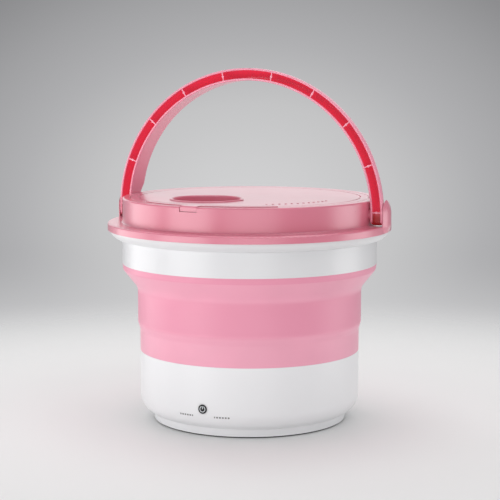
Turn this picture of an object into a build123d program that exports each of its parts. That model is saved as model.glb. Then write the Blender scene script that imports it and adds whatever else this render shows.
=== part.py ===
from build123d import *
from math import acos, cos, pi, radians, sin, sqrt, tan
import os

# Foldable washing machine. Millimetres, +Z up, origin on the floor below the middle of the base.
# The front, with the power button, faces -Y. Turns are degrees about Z, counted from +X.

# Gaps between pieces
RUNNING_GAP = 0.05      # radial, for what turns or slides in a bore
SCREW_GAP = 0.05        # radial, a screw in its pilot hole
SHELL_GAP = 0.2         # between shells that drop into each other
MOVING_GAP = 0.6        # beside a piece that lifts out
SIDE_GAP = 0.5          # beside the handle's foot and round the lid's tongue

# Screws of one size, used all over
SCREW_R = 1.5
SCREW_HEAD_R = 2.8
SCREW_HEAD = 2.2
SCREW_HOLE_R = 1.7

# Base housing
BASE_R = 124.3
BASE_WALL = 2.5
BASE_CORNER = 20.0      # the large rounding between foot ring and wall
FOOT_INSET = 15.3       # from the base's wall in to the foot ring
FOOT_CLEAR = 1.5        # height of the foot ring above the floor
COVER_BOTTOM = 6.0
COVER_THICK = 3.0
LEDGE_WIDTH = 6.5       # the cover's seat, inwards from the foot ring
RUBBER_WIDTH = 4.5
RUBBER_LIP = 1.2        # how far the rubber reaches under the foot ring
BOSS_COUNT = 6
BOSS_TURN = 30.0
BOSS_INSET = 14.0       # from the foot ring in to the boss's middle
BOSS_R = 4.5
BOSS_HEIGHT = 25.0
COVER_SCREW_LENGTH = 14.0

# Wash tub in the base
FLOOR_BOTTOM = 60.0     # the whole drive hangs below this level
FLOOR_THICK = 3.0
TUB_DEPTH = 16.8        # tub floor to the base's upper edge
TUB_WALL = 2.6
TUB_BEND = 11.0
HUB_R = 15.0
HUB_RISE = 3.0
HUB_DROP = 10.8

# Bellows, from the base's upper edge
BELLOWS_WALL = 2.2
BAND_PROUD = 2.4        # how far the widest band stands out from the base
BELLOWS_HEIGHT = 98.9
BAND_START = 24.2
BAND_FULL = 32.2
WAIST_BEND = 12.0
WAIST_RISE = 20.5       # height of the slope between band and lip
LIP_HEIGHT = 6.7
LIP_INSET = 0.8
LIP_BEND = 5.0
TONGUE_HEIGHT = 7.0
TONGUE_THICK = 2.0
HOOP_THICK = 2.0
HOOP_HEIGHT = 6.0

# Upper ring
RING_FLARE = 19.5       # from the base's wall out to the upper ring's
RING_WALL = 2.6
RING_HEIGHT = 27.9      # its straight wall
SHOULDER_RISE = 0.8
SHOULDER_FLAT = 6.6     # the flat part of the shoulder
SHOULDER_RIM = 7.0      # from that flat out to the rim
SHOULDER_HEIGHT = 6.9
SHOULDER_BEND = 6.0
RIM_HEIGHT = 7.8
RIM_SEAL_THICK = 1.0

# Collar
FLANGE_PROUD = 2.6      # how far the flange stands out from the rim
FLANGE_HEIGHT = 8.3
FLANGE_THICK = 2.7
FLANGE_ROUND = 1.8
COLLAR_INSET = 0.6      # from the upper ring's wall in to the collar's
COLLAR_HEIGHT = 27.65
COLLAR_WALL = 2.6
COLLAR_ROUND = 1.8
LID_SEAT_DEPTH = 4.65
LID_SEAT_WIDTH = 5.9

# Lid
LID_INSET = 8.9         # from the collar's wall in to the lid's edge
LID_THICK = 3.2
LID_SKIRT_WALL = 2.0
LID_SKIRT_DROP = 12.0
GROOVE_INSET = 9.3
GROOVE_WIDTH = 1.4
GROOVE_DEPTH = 0.9
GASKET_WIDTH = 3.6
BOWL_X = -47.0
BOWL_Y = -50.0
BOWL_R = 37.6
BOWL_LIP_WIDTH = 3.2
BOWL_LIP_RISE = 1.4
BOWL_DEPTH = 14.0
BOWL_WALL = 2.4
BOWL_BEND = 6.0
LAND_RISE = 0.9         # the raised land from the bowl to the front edge
LAND_LEFT_TURN = -129.0
LAND_RIGHT_TURN = -59.0
TAB_TURN = -116.9
LID_TONGUE_WIDTH = 20.0
TAB_WIDTH = 20.0
TAB_DROP = 5.0
TAB_THICK = 2.2
TAB_SINK = 0.7          # of the tongue and tab behind the collar's wall
DOT_R = 1.3
DOT_RISE = 0.5
DOT_INSET = 32.3        # from the lid's edge in to the row of dots
DOT_COUNT = 12
DOT_FIRST_TURN = -80.0
DOT_STEP = 4.1

# Carrying handle, an arch whose open channel faces forward
HINGE_TURN = -22.0      # the hinge line's turn from the X axis
PIVOT_RISE = 12.5       # hinge line above the flange
ARCH_CLEAR = 2.2        # between the collar's wall and the handle
ARCH_THICK = 13.6
ARCH_FRONT = 9.0        # hinge line to front face
ARCH_BACK = 25.0        # hinge line to back edge
ARCH_WALL = 2.3
ARCH_NOSE = 4.2         # thickness of the back edge
ARCH_EDGE = 0.9
FOOT_DROP = 11.5        # hinge line to the foot's lower end
FOOT_ROUND = 7.0
FOOT_CORNER = 5.0       # rounding of its lower inner corner, seen from the front
FOOT_PIN_COVER = 1.2    # of the foot's solid part over the pin
FOOT_WIDEN_LOW = 3.0    # above the hinge line, where the foot starts to widen backwards
FOOT_WIDEN_HIGH = 27.0
RIB_THICK = 1.2
RIB_SINK = 0.5
RIB_KNOB_R = 1.3
RIB_DEPTH = 19.0
RIB_PAIRS = 5
RIB_FIRST = 11.0        # degrees from the arch's top
RIB_STEP = 19.5
PIN_R = 3.0
PIN_HEAD_R = 5.0
PIN_HEAD = 2.0
PIVOT_BOSS_R = 7.0
EAR_THICK = 5.0         # from the handle's outer side to the dome's outermost point
EAR_DOME_R = 30.0
EAR_BACK = 5.0          # from the hinge line back to the dome's middle
EAR_FRONT = 9.5         # from the hinge line forwards to where the dome is cut off
EAR_PIN_COVER = 2.2     # from the dome's outermost point in to the end of the pin's hole
EAR_TAPER = 2.6         # how much smaller the dome's radius is at the flange's lower edge
EAR_LOW_ROUND = 1.8
EAR_LIFT = 0.5          # of the dome's lower end above the flange's lower edge

# Gear drive
MODULE = 0.9
PRESSURE_ANGLE = 20.0
WHEEL_TEETH = 72
PINION_TEETH = 18
TOOTH_THINNING = 0.08   # taken off each tooth at its pitch circle, for backlash
WHEEL_WIDTH = 6.0
WHEEL_CLEAR = 2.0       # above the bracket
WHEEL_HUB_R = 9.0
WHEEL_HOLE_R = 6.0
WHEEL_HOLES = 6
PINION_WIDTH = 6.6
SHAFT_R = 4.0
SHAFT_FLAT_CUT = 0.8
SHAFT_TIP_CUT = 1.0     # how much thinner the shaft is in its lower bearing
SHAFT_SQUARE_CUT = 0.04
SHAFT_SQUARE_LENGTH = 9.5
UPPER_BEARING_R = 11.0
UPPER_BEARING_H = 7.0
LOWER_BEARING_R = 9.5
LOWER_BEARING_H = 6.0
SEAL_H = 7.0
BEARING_GROOVE = 0.5
BRACKET_DROP = 23.0     # from the tub floor down to the bracket
BRACKET_THICK = 3.0
BRACKET_BACK = -38.0
BRACKET_WIDTH = 92.0
BRACKET_CORNER = 8.0
POST_X = 30.0
POST_Y = 38.0
POST_R = 4.5

# Motor
MOTOR_R = 18.0
MOTOR_WALL = 1.6
MOTOR_LENGTH = 26.6
MOTOR_CAP = 3.0
MOTOR_NOSE_R = 6.0
MOTOR_NOSE = 2.4
MOTOR_SHAFT_R = 1.6
MOTOR_SCREW_INSET = 5.5
ROTOR_GAP = 1.5
MAGNET_THICK = 3.4
MAGNET_TURN = 130.0

# Pulsator
PULSATOR_R = 62.0
PULSATOR_CLEAR = 2.2
PULSATOR_LIFT = 2.0     # shaft shoulder above the tub's hub
PULSATOR_HEIGHT = 16.0
PULSATOR_HUB_R = 14.0
PULSATOR_SKIN = 2.6
PULSATOR_SKIRT = 3.5
VANE_COUNT = 6
VANE_THICK = 5.0
HUB_SCREW_R = 2.0
HUB_SCREW_HEAD_R = 4.0
HUB_SCREW_LENGTH = 12.0
HUB_CAP_R = 8.0
HUB_CAP_DEPTH = 4.5

# Power button and control board
BUTTON_TURN = -113.9
BUTTON_Z = 33.4
BUTTON_R = 5.1
BUTTON_PROUD = 0.6
BUTTON_TRAVEL = 1.0
BUTTON_EDGE = 0.5
BUTTON_COLLAR_LIP = 0.8
BUTTON_COLLAR = 1.6
BUTTON_STEM_R = 2.0
BEZEL_WIDTH = 1.2
BEZEL_PROUD = 0.3
BEZEL_LENGTH = 3.6
SYMBOL_R = 3.0
SYMBOL_LINE = 0.7
SYMBOL_DEPTH = 0.4
BOARD_DEPTH = 16.2      # from the housing's inner wall in to the board's outer face
BOARD_THICK = 1.6
BOARD_WIDTH = 50.0
BOARD_HEIGHT = 26.0
BOARD_POST_R = 3.0
BOARD_POST_OUT = 18.0
BOARD_SCREW_LENGTH = 8.0
SWITCH_SIZE = 6.0
SWITCH_HEIGHT = 3.6
PLUNGER_R = 1.7
PLUNGER_PROUD = 1.3
SOCKET_WIDTH = 16.0
SOCKET_HEIGHT = 6.0
SOCKET_DEPTH = 6.0
WIRE_R = 0.8
WIRE_BEND = 8.0
WIRE_Z = 12.0
LEAD_INSET = 30.0       # from the foot ring in to the inlet's wires

# Power inlet
JACK_TURN = 120.0
JACK_Z = 33.4
JACK_BORE_R = 3.2
JACK_BORE_DEPTH = 9.5
JACK_WALL = 2.3
JACK_BODY_LENGTH = 16.0
JACK_FLANGE_LIP = 2.5
JACK_FLANGE = 1.6
JACK_SINK = 0.8
JACK_PIN_R = 1.0
JACK_NUT = 2.4

# Drain at the back
DRAIN_INSET = 23.0      # from the tub's wall in to the drain hole
DRAIN_DROP = 13.0       # from the tub floor down to the spout's middle
DRAIN_BORE_R = 5.0
DRAIN_WALL = 2.5
DRAIN_FLANGE_LIP = 4.5
DRAIN_FLANGE = 2.5
DRAIN_REACH = 12.7      # how far the spout stands out of the base
CAP_LENGTH = 10.5       # how far the cap goes over the spout
CAP_WALL = 2.95
CAP_END_THICK = 3.0
CAP_GRIPS = 18
CAP_GRIP_R = 0.9
CAP_SEAT_GAP = 0.3
O_RING_R = 0.75
O_RING_BACK = 6.0       # from the spout's end back to the ring
STRAINER_LIP = 3.0
STRAINER_THICK = 1.6
STRAINER_HOLE_R = 1.1

# Worked out from the sizes above
BASE_IN_R = BASE_R - BASE_WALL
COVER_TOP = COVER_BOTTOM + COVER_THICK
FOOT_RING_R = BASE_R - FOOT_INSET
FOOT_RING_IN_R = FOOT_RING_R - BASE_WALL
BOSS_PITCH_R = FOOT_RING_R - BOSS_INSET
FLOOR_TOP = FLOOR_BOTTOM + FLOOR_THICK
BASE_TOP = FLOOR_TOP + TUB_DEPTH
TUB_OUT_R = BASE_IN_R - SHELL_GAP
TUB_IN_R = TUB_OUT_R - TUB_WALL
HUB_TOP = FLOOR_TOP + HUB_RISE
HUB_BOTTOM = FLOOR_BOTTOM - HUB_DROP
BELLOWS_TOP = BASE_TOP + BELLOWS_HEIGHT
RING_R = BASE_R + RING_FLARE
RING_IN_R = RING_R - RING_WALL
SHOULDER_LOW = BELLOWS_TOP + RING_HEIGHT
SHOULDER_HIGH = SHOULDER_LOW + SHOULDER_HEIGHT
RIM_R = RING_R + SHOULDER_FLAT + SHOULDER_RIM
RIM_TOP = SHOULDER_HIGH + RIM_HEIGHT
FLANGE_UNDER = RIM_TOP + RIM_SEAL_THICK
FLANGE_TOP = FLANGE_UNDER + FLANGE_THICK
FLANGE_BOTTOM = FLANGE_TOP - FLANGE_HEIGHT
FLANGE_R = RIM_R + FLANGE_PROUD
RIM_HOLE_R = RIM_R + SHELL_GAP
COLLAR_R = RING_R - COLLAR_INSET
COLLAR_IN_R = COLLAR_R - COLLAR_WALL
COLLAR_TOP = FLANGE_TOP + COLLAR_HEIGHT
LID_R = COLLAR_R - LID_INSET
LID_BOTTOM = COLLAR_TOP - LID_THICK
LID_HOLE_R = LID_R + MOVING_GAP
LID_SEAT_Z = COLLAR_TOP - LID_SEAT_DEPTH
LID_SEAT_R = LID_HOLE_R - LID_SEAT_WIDTH
LID_SKIRT_R = LID_SEAT_R - MOVING_GAP
GROOVE_R = LID_R - GROOVE_INSET
DOT_PITCH_R = LID_R - DOT_INSET
PIVOT_Z = FLANGE_TOP + PIVOT_RISE
ARCH_IN_R = COLLAR_R + ARCH_CLEAR
ARCH_OUT_R = ARCH_IN_R + ARCH_THICK
EAR_IN = ARCH_OUT_R + SIDE_GAP
EAR_OUT = ARCH_OUT_R + EAR_THICK
GEAR_DISTANCE = MODULE * (WHEEL_TEETH + PINION_TEETH) / 2
BRACKET_BOTTOM = FLOOR_BOTTOM - BRACKET_DROP
BRACKET_TOP = BRACKET_BOTTOM + BRACKET_THICK
WHEEL_BOTTOM = BRACKET_TOP + WHEEL_CLEAR
LOWER_BEARING_Z = BRACKET_BOTTOM - LOWER_BEARING_H
SHAFT_FLAT = SHAFT_R - SHAFT_FLAT_CUT
SHAFT_TIP_R = SHAFT_R - SHAFT_TIP_CUT
SHAFT_SQUARE = (SHAFT_R - SHAFT_SQUARE_CUT) * sqrt(2)
SHAFT_BOTTOM = LOWER_BEARING_Z + SHELL_GAP
SHAFT_STEP = BRACKET_BOTTOM + 1
SHAFT_SHOULDER = HUB_TOP + PULSATOR_LIFT
SHAFT_TOP = SHAFT_SHOULDER + SHAFT_SQUARE_LENGTH
MOTOR_BOTTOM = BRACKET_BOTTOM - MOTOR_LENGTH
MOTOR_SCREW_PITCH_R = MOTOR_R - MOTOR_SCREW_INSET
MAGNET_IN_R = MOTOR_R - MOTOR_WALL - MAGNET_THICK
ROTOR_R = MAGNET_IN_R - ROTOR_GAP
PULSATOR_UNDER = FLOOR_TOP + PULSATOR_CLEAR
PULSATOR_TOP = SHAFT_SHOULDER + PULSATOR_HEIGHT
BUTTON_COLLAR_R = BUTTON_R + BUTTON_COLLAR_LIP
BEZEL_R = BUTTON_R + BEZEL_WIDTH
BEZEL_BACK = BASE_R + BEZEL_PROUD - BEZEL_LENGTH
BUTTON_FACE = BASE_R + BUTTON_PROUD
BOARD_R = BASE_IN_R - BOARD_DEPTH
SWITCH_FACE = BOARD_R + SWITCH_HEIGHT
JACK_BODY_R = JACK_BORE_R + JACK_WALL
JACK_FLANGE_R = JACK_BODY_R + JACK_FLANGE_LIP
DRAIN_Y = TUB_IN_R - DRAIN_INSET
DRAIN_Z = FLOOR_BOTTOM - DRAIN_DROP
DRAIN_TUBE_R = DRAIN_BORE_R + DRAIN_WALL
DRAIN_FLANGE_R = DRAIN_TUBE_R + DRAIN_FLANGE_LIP
DRAIN_END = BASE_R + DRAIN_REACH
CAP_START = DRAIN_END - CAP_LENGTH
CAP_R = DRAIN_TUBE_R + RUNNING_GAP + CAP_WALL
O_RING_Y = DRAIN_END - O_RING_BACK
STRAINER_R = DRAIN_BORE_R + STRAINER_LIP


def face_on_side(*corners):
    # A face in the XZ plane. Each corner is (x, z), or (x, z, rounding).
    points = [corner[:2] for corner in corners]
    rounds = [corner[2] if len(corner) > 2 else 0 for corner in corners]
    return Rot(90, 0, 0) * make_face(FilletPolyline(*points, radius=rounds, close=True))


def turned(*corners):
    # A solid of revolution about Z from (radius, height) corners.
    return revolve(face_on_side(*corners), axis=Axis.Z)


def turned_wall(thickness, path, roundings):
    # A wall of even thickness turned about Z. The path is its outer side, from bottom to top.
    line = FilletPolyline(*path, radius=roundings)
    wall = Wire(line.edges()).offset_2d(thickness, kind=Kind.INTERSECTION, side=Side.LEFT, closed=True)
    return revolve(Rot(90, 0, 0) * make_face(wall), axis=Axis.Z)


def rod(radius, low, high):
    return Pos(0, 0, (low + high) / 2) * Cylinder(radius, high - low)


def tube(outer, inner, low, high):
    return rod(outer, low, high) - rod(inner, low, high)


def block(x_low, x_high, y_low, y_high, z_low, z_high):
    centre = Pos((x_low + x_high) / 2, (y_low + y_high) / 2, (z_low + z_high) / 2)
    return centre * Box(x_high - x_low, y_high - y_low, z_high - z_low)


def facing(turn, height):
    # A place on the axis whose Z points outwards at this turn, X along the wall and Y up.
    out = (cos(radians(turn)), sin(radians(turn)), 0)
    along = (-sin(radians(turn)), cos(radians(turn)), 0)
    return Plane(origin=(0, 0, height), x_dir=along, z_dir=out).location


def turns(count, first=0.0):
    return [first + 360.0 * step / count for step in range(count)]


def screw(radius, head_radius, head, length):
    # Head below z 0, shank upwards, with a cross recess in the head.
    body = rod(head_radius, -head, 0) + rod(radius, 0, length)
    for turn in (0, 90):
        body -= Rot(0, 0, turn) * block(-head_radius * 0.6, head_radius * 0.6, -0.4, 0.4, -head, -head * 0.4)
    return body


def pieces(*shapes):
    # Separate solids kept together in one node.
    return Compound(children=[solid for shape in shapes for solid in shape.solids()])


def save(shape, node):
    solids = shape.solids()
    export_step(solids[0] if len(solids) == 1 else pieces(shape), f"parts/{node}.step")


# Base housing and what closes it below

def cover_screw_places():
    return [Rot(0, 0, turn) * Pos(BOSS_PITCH_R, 0, 0) for turn in turns(BOSS_COUNT, BOSS_TURN)]


def board_screw_places():
    return [facing(BUTTON_TURN, BUTTON_Z) * Pos(side * BOARD_POST_OUT, 0, 0) for side in (-1, 1)]


def base_body():
    # The housing's outer shape, filled.
    body = turned((0, COVER_TOP), (BASE_R, COVER_TOP, BASE_CORNER), (BASE_R, BASE_TOP), (0, BASE_TOP))
    return body + rod(FOOT_RING_R, FOOT_CLEAR, COVER_TOP + 2)


def base_hollow():
    # Its inside, with the step under the tub.
    low = COVER_TOP + BASE_WALL
    step_r = TUB_IN_R
    slope = BASE_IN_R - step_r
    return turned(
        (0, low), (BASE_IN_R, low, BASE_CORNER - BASE_WALL), (BASE_IN_R, FLOOR_BOTTOM - 3 * slope),
        (step_r, FLOOR_BOTTOM - slope), (step_r, FLOOR_BOTTOM), (BASE_IN_R, FLOOR_BOTTOM),
        (BASE_IN_R, BASE_TOP), (0, BASE_TOP))


def base_housing():
    body = base_body()
    shell = body - base_hollow()
    shell -= rod(FOOT_RING_IN_R, 0, COVER_TOP)
    shell -= rod(FOOT_RING_IN_R - LEDGE_WIDTH, 0, COVER_TOP + BASE_WALL)
    for place in cover_screw_places():
        boss = place * rod(BOSS_R, COVER_TOP, COVER_TOP + BOSS_HEIGHT)
        web = place * block(0, BASE_IN_R - BOSS_PITCH_R + 1, -BASE_WALL / 2, BASE_WALL / 2,
                            COVER_TOP, COVER_TOP + BOSS_HEIGHT)
        shell += (boss + web) & body
    for place in board_screw_places():
        shell += place * rod(BOARD_POST_R, BOARD_R, BASE_IN_R)
    for place in cover_screw_places():
        shell -= place * rod(SCREW_R + SCREW_GAP, 0, COVER_TOP + COVER_SCREW_LENGTH)
    for place in board_screw_places():
        shell -= place * rod(SCREW_R + SCREW_GAP, BOARD_R - 1, BOARD_R + BOARD_SCREW_LENGTH)
    shell -= facing(BUTTON_TURN, BUTTON_Z) * rod(BEZEL_R + SHELL_GAP / 2, BASE_IN_R - 5, BASE_R + 5)
    jack = facing(JACK_TURN, JACK_Z)
    shell -= jack * rod(JACK_BODY_R + SHELL_GAP, BASE_IN_R - 5, BASE_R + 5)
    shell -= jack * rod(JACK_FLANGE_R + SHELL_GAP, BASE_R - JACK_SINK, BASE_R + 5)
    return shell - facing(90, DRAIN_Z) * rod(DRAIN_TUBE_R + SHELL_GAP, BASE_IN_R - 5, BASE_R + 5)


def bottom_cover():
    cover = turned((0, COVER_BOTTOM), (FOOT_RING_IN_R - SHELL_GAP, COVER_BOTTOM, 0.5),
                   (FOOT_RING_IN_R - SHELL_GAP, COVER_TOP), (0, COVER_TOP))
    for place in cover_screw_places():
        cover -= place * rod(SCREW_HOLE_R, COVER_BOTTOM, COVER_TOP)
        cover -= place * rod(SCREW_HEAD_R + 2 * SHELL_GAP, COVER_BOTTOM, COVER_TOP - BASE_WALL / 2)
    return cover


def cover_screws():
    head_seat = COVER_TOP - BASE_WALL / 2
    return pieces(*[place * Pos(0, 0, head_seat) * screw(SCREW_R, SCREW_HEAD_R, SCREW_HEAD,
                                                         COVER_SCREW_LENGTH)
                    for place in cover_screw_places()])


def rubber_foot_ring():
    outer = FOOT_RING_IN_R - SHELL_GAP
    return turned((outer - RUBBER_WIDTH, 0, 0.6), (outer + RUBBER_LIP, 0, 0.6),
                  (outer + RUBBER_LIP, FOOT_CLEAR), (outer, FOOT_CLEAR),
                  (outer, COVER_BOTTOM), (outer - RUBBER_WIDTH, COVER_BOTTOM))


# Tub, its drain, and the seals round it

def bracket_screw_places():
    return [Pos(x, y, 0) for x in (-POST_X, POST_X) for y in (-POST_Y, POST_Y)]


def tub_floor():
    tub = turned((0, FLOOR_BOTTOM), (TUB_OUT_R, FLOOR_BOTTOM), (TUB_OUT_R, BASE_TOP),
                 (TUB_IN_R, BASE_TOP), (TUB_IN_R, FLOOR_TOP, TUB_BEND), (0, FLOOR_TOP))
    tub += rod(HUB_R, HUB_BOTTOM, HUB_TOP)
    for place in bracket_screw_places():
        tub += place * rod(POST_R, BRACKET_TOP, FLOOR_BOTTOM + 1)
        tub -= place * rod(SCREW_R + SCREW_GAP, BRACKET_TOP, BRACKET_TOP + 12)
    tub -= rod(UPPER_BEARING_R, HUB_BOTTOM, HUB_BOTTOM + UPPER_BEARING_H)
    tub -= rod(SHAFT_R + MOVING_GAP, HUB_BOTTOM, HUB_TOP)
    tub -= rod(UPPER_BEARING_R, HUB_TOP - SEAL_H, HUB_TOP)
    tub -= Pos(0, DRAIN_Y, 0) * rod(DRAIN_BORE_R, FLOOR_BOTTOM, FLOOR_TOP)
    return tub - Pos(0, DRAIN_Y, 0) * rod(STRAINER_R + SHELL_GAP, FLOOR_TOP - STRAINER_THICK, FLOOR_TOP)


def drain_strainer():
    plate = rod(STRAINER_R, FLOOR_TOP - STRAINER_THICK, FLOOR_TOP)
    plate -= rod(STRAINER_HOLE_R, FLOOR_BOTTOM, FLOOR_TOP)
    hole = Pos(3 * STRAINER_HOLE_R, 0, 0) * rod(STRAINER_HOLE_R, FLOOR_BOTTOM, FLOOR_TOP)
    for turn in turns(6):
        plate -= Rot(0, 0, turn) * hole
    return Pos(0, DRAIN_Y, 0) * plate


def drain_spout():
    down = Pos(0, DRAIN_Y, 0)
    back = facing(90, DRAIN_Z)
    spout = down * rod(DRAIN_FLANGE_R, FLOOR_BOTTOM - DRAIN_FLANGE, FLOOR_BOTTOM)
    spout += down * rod(DRAIN_TUBE_R, DRAIN_Z, FLOOR_BOTTOM)
    spout += Pos(0, DRAIN_Y, DRAIN_Z) * Sphere(DRAIN_TUBE_R)
    spout += back * rod(DRAIN_TUBE_R, DRAIN_Y, DRAIN_END)
    spout -= down * rod(DRAIN_BORE_R, DRAIN_Z, FLOOR_BOTTOM)
    spout -= Pos(0, DRAIN_Y, DRAIN_Z) * Sphere(DRAIN_BORE_R)
    spout -= back * rod(DRAIN_BORE_R, DRAIN_Y, DRAIN_END)
    half = O_RING_R + SHELL_GAP / 2
    groove = tube(DRAIN_TUBE_R + 1, DRAIN_TUBE_R - 2 * O_RING_R, O_RING_Y - half, O_RING_Y + half)
    return spout - back * groove


def drain_o_ring():
    return facing(90, DRAIN_Z) * Pos(0, 0, O_RING_Y) * Torus(DRAIN_TUBE_R - O_RING_R, O_RING_R)


def drain_cap():
    seat = DRAIN_END + CAP_SEAT_GAP
    end = seat + CAP_END_THICK
    cap = fillet(rod(CAP_R, CAP_START, end).edges(), 0.8)
    cap -= rod(DRAIN_TUBE_R + RUNNING_GAP, CAP_START - 1, seat)
    for turn in turns(CAP_GRIPS):
        cap -= Rot(0, 0, turn) * Pos(CAP_R + CAP_GRIP_R / 2, 0, 0) * rod(CAP_GRIP_R, CAP_START - 1, end + 1)
    return facing(90, DRAIN_Z) * cap


def bellows():
    band_r = BASE_R + BAND_PROUD
    lip_low = BELLOWS_TOP - LIP_HEIGHT
    path = [(BASE_R, BASE_TOP), (BASE_R, BASE_TOP + BAND_START), (band_r, BASE_TOP + BAND_FULL),
            (band_r, lip_low - WAIST_RISE), (RING_R - LIP_INSET, lip_low), (RING_R, BELLOWS_TOP)]
    roundings = [6, 6, WAIST_BEND, LIP_BEND]
    skin = turned_wall(BELLOWS_WALL, path, roundings) & rod(RING_R + 1, BASE_TOP, BELLOWS_TOP)
    skin += tube(BASE_R - BELLOWS_WALL / 2, TUB_IN_R, BASE_TOP, BASE_TOP + BELLOWS_WALL)
    tongue_r = RING_IN_R - SHELL_GAP / 2
    skin += tube(tongue_r, tongue_r - TONGUE_THICK, BELLOWS_TOP - BELLOWS_WALL, BELLOWS_TOP + TONGUE_HEIGHT)
    return skin + tube(RING_R - BELLOWS_WALL / 2, tongue_r - TONGUE_THICK,
                       BELLOWS_TOP - BELLOWS_WALL, BELLOWS_TOP)


def lower_hoop():
    outer = BASE_R - BELLOWS_WALL - SHELL_GAP / 2
    low = BASE_TOP + BELLOWS_WALL
    return tube(outer, TUB_IN_R, low, low + HOOP_HEIGHT)


def upper_hoop():
    outer = RING_IN_R - SHELL_GAP / 2 - TONGUE_THICK
    low = BELLOWS_TOP + (TONGUE_HEIGHT - HOOP_HEIGHT) / 2
    return tube(outer, outer - HOOP_THICK, low, low + HOOP_HEIGHT)


# Upper ring, collar and lid

def upper_ring():
    path = [(RING_R, BELLOWS_TOP), (RING_R, SHOULDER_LOW),
            (RING_R + SHOULDER_FLAT, SHOULDER_LOW + SHOULDER_RISE), (RIM_R, SHOULDER_HIGH), (RIM_R, RIM_TOP)]
    return turned_wall(RING_WALL, path, [1, SHOULDER_BEND, SHOULDER_BEND])


def rim_seal():
    return tube(RIM_R, RIM_R - RING_WALL, RIM_TOP, FLANGE_UNDER)


def hinge(side):
    # A place whose Z runs outwards along the hinge line, on the right side or the left.
    return Rot(0, 0, HINGE_TURN + (0 if side > 0 else 180)) * Pos(0, 0, PIVOT_Z) * Rot(0, 90, 0)


def hinge_frame():
    # The machine's frame turned so that its X axis is the hinge line.
    return Rot(0, 0, HINGE_TURN)


def ear(side):
    # The outer cheek of the hinge: a dome that runs down below the hinge line and narrows into the flange.
    # It is cut off in front, so that the handle's open face stays clear of it.
    middle = Pos(side * (EAR_OUT - EAR_DOME_R), EAR_BACK, 0)
    low = FLANGE_BOTTOM + EAR_LIFT
    stem = turned((0, low), (EAR_DOME_R - EAR_TAPER, low, EAR_LOW_ROUND),
                  (EAR_DOME_R, FLANGE_TOP, 10), (EAR_DOME_R, PIVOT_Z), (0, PIVOT_Z))
    dome = middle * (Pos(0, 0, PIVOT_Z) * Sphere(EAR_DOME_R) + stem)
    cheek = dome & block(*sorted((side * EAR_IN, side * (EAR_OUT + 1))), -EAR_FRONT, 2 * EAR_DOME_R,
                         low, PIVOT_Z + EAR_DOME_R)
    skirt = dome & block(*sorted((side * (RIM_HOLE_R + 1), side * (EAR_OUT + 1))), -EAR_FRONT, 2 * EAR_DOME_R,
                         low, FLANGE_TOP)
    return cheek + skirt


def lid_tongue_ring(clearance):
    # The band of the lid's pull tongue, over the collar's top edge, as a full ring.
    top = COLLAR_TOP + LAND_RISE
    outer = COLLAR_R - TAB_SINK
    return turned((LID_R - 4, LID_BOTTOM - clearance), (outer, LID_BOTTOM - clearance),
                  (outer, top, COLLAR_ROUND), (LID_R - 4, top))


def tab_block(width, low, high, inner=0.0):
    return Rot(0, 0, TAB_TURN) * block(inner, FLANGE_R, -width / 2, width / 2, low, high)


def collar():
    seat_out = LID_HOLE_R + COLLAR_WALL
    body = turned(
        (RIM_HOLE_R, FLANGE_BOTTOM), (FLANGE_R, FLANGE_BOTTOM, 0.5), (FLANGE_R, FLANGE_TOP, FLANGE_ROUND),
        (COLLAR_R, FLANGE_TOP, 1.5), (COLLAR_R, COLLAR_TOP, COLLAR_ROUND), (LID_HOLE_R, COLLAR_TOP, 0.5),
        (LID_HOLE_R, LID_SEAT_Z), (LID_SEAT_R, LID_SEAT_Z), (LID_SEAT_R, LID_SEAT_Z - COLLAR_WALL),
        (seat_out, LID_SEAT_Z - COLLAR_WALL), (seat_out, COLLAR_TOP - COLLAR_WALL),
        (COLLAR_IN_R, COLLAR_TOP - COLLAR_WALL), (COLLAR_IN_R, FLANGE_UNDER), (RIM_HOLE_R, FLANGE_UNDER))
    body -= tab_block(LID_TONGUE_WIDTH + 2 * SIDE_GAP, LID_BOTTOM - SIDE_GAP, COLLAR_TOP + 1, LID_R - 2)
    body -= tab_block(TAB_WIDTH + 2 * SIDE_GAP, COLLAR_TOP - TAB_DROP - SIDE_GAP, COLLAR_TOP + 1,
                      COLLAR_R - TAB_SINK - TAB_THICK - SIDE_GAP)
    for side in (-1, 1):
        body += hinge_frame() * ear(side)
        body += hinge(side) * rod(PIVOT_BOSS_R, COLLAR_IN_R + 1, ARCH_IN_R - SIDE_GAP)
        body -= hinge(side) * rod(PIN_R + RUNNING_GAP, COLLAR_IN_R - 2, EAR_OUT - EAR_PIN_COVER)
    return body


def pivot_pins():
    head_seat = sqrt(COLLAR_IN_R**2 - PIN_HEAD_R**2) - RUNNING_GAP
    pin = rod(PIN_R, head_seat, EAR_OUT - EAR_PIN_COVER - SIDE_GAP / 2)
    pin += fillet(rod(PIN_HEAD_R, head_seat - PIN_HEAD, head_seat).edges().sort_by(Axis.Z)[0], 0.6)
    return pieces(hinge(-1) * pin, hinge(1) * pin)


def lid_land():
    # The raised land that widens from the bowl to the lid's front edge.
    outline = [(BOWL_X, BOWL_Y)]
    for start, turn in (((BOWL_X - BOWL_R - 2, BOWL_Y + 9), LAND_LEFT_TURN),
                        ((BOWL_X + BOWL_R + 6, BOWL_Y - 25), LAND_RIGHT_TURN)):
        far = (start[0] + 2 * LID_R * cos(radians(turn)), start[1] + 2 * LID_R * sin(radians(turn)))
        outline += [start, far] if turn == LAND_LEFT_TURN else [far, start]
    land = extrude(make_face(Polyline(*outline, close=True)), LAND_RISE)
    return (Pos(0, 0, COLLAR_TOP) * land) & rod(LID_R - 0.8, COLLAR_TOP, COLLAR_TOP + LAND_RISE)


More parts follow.
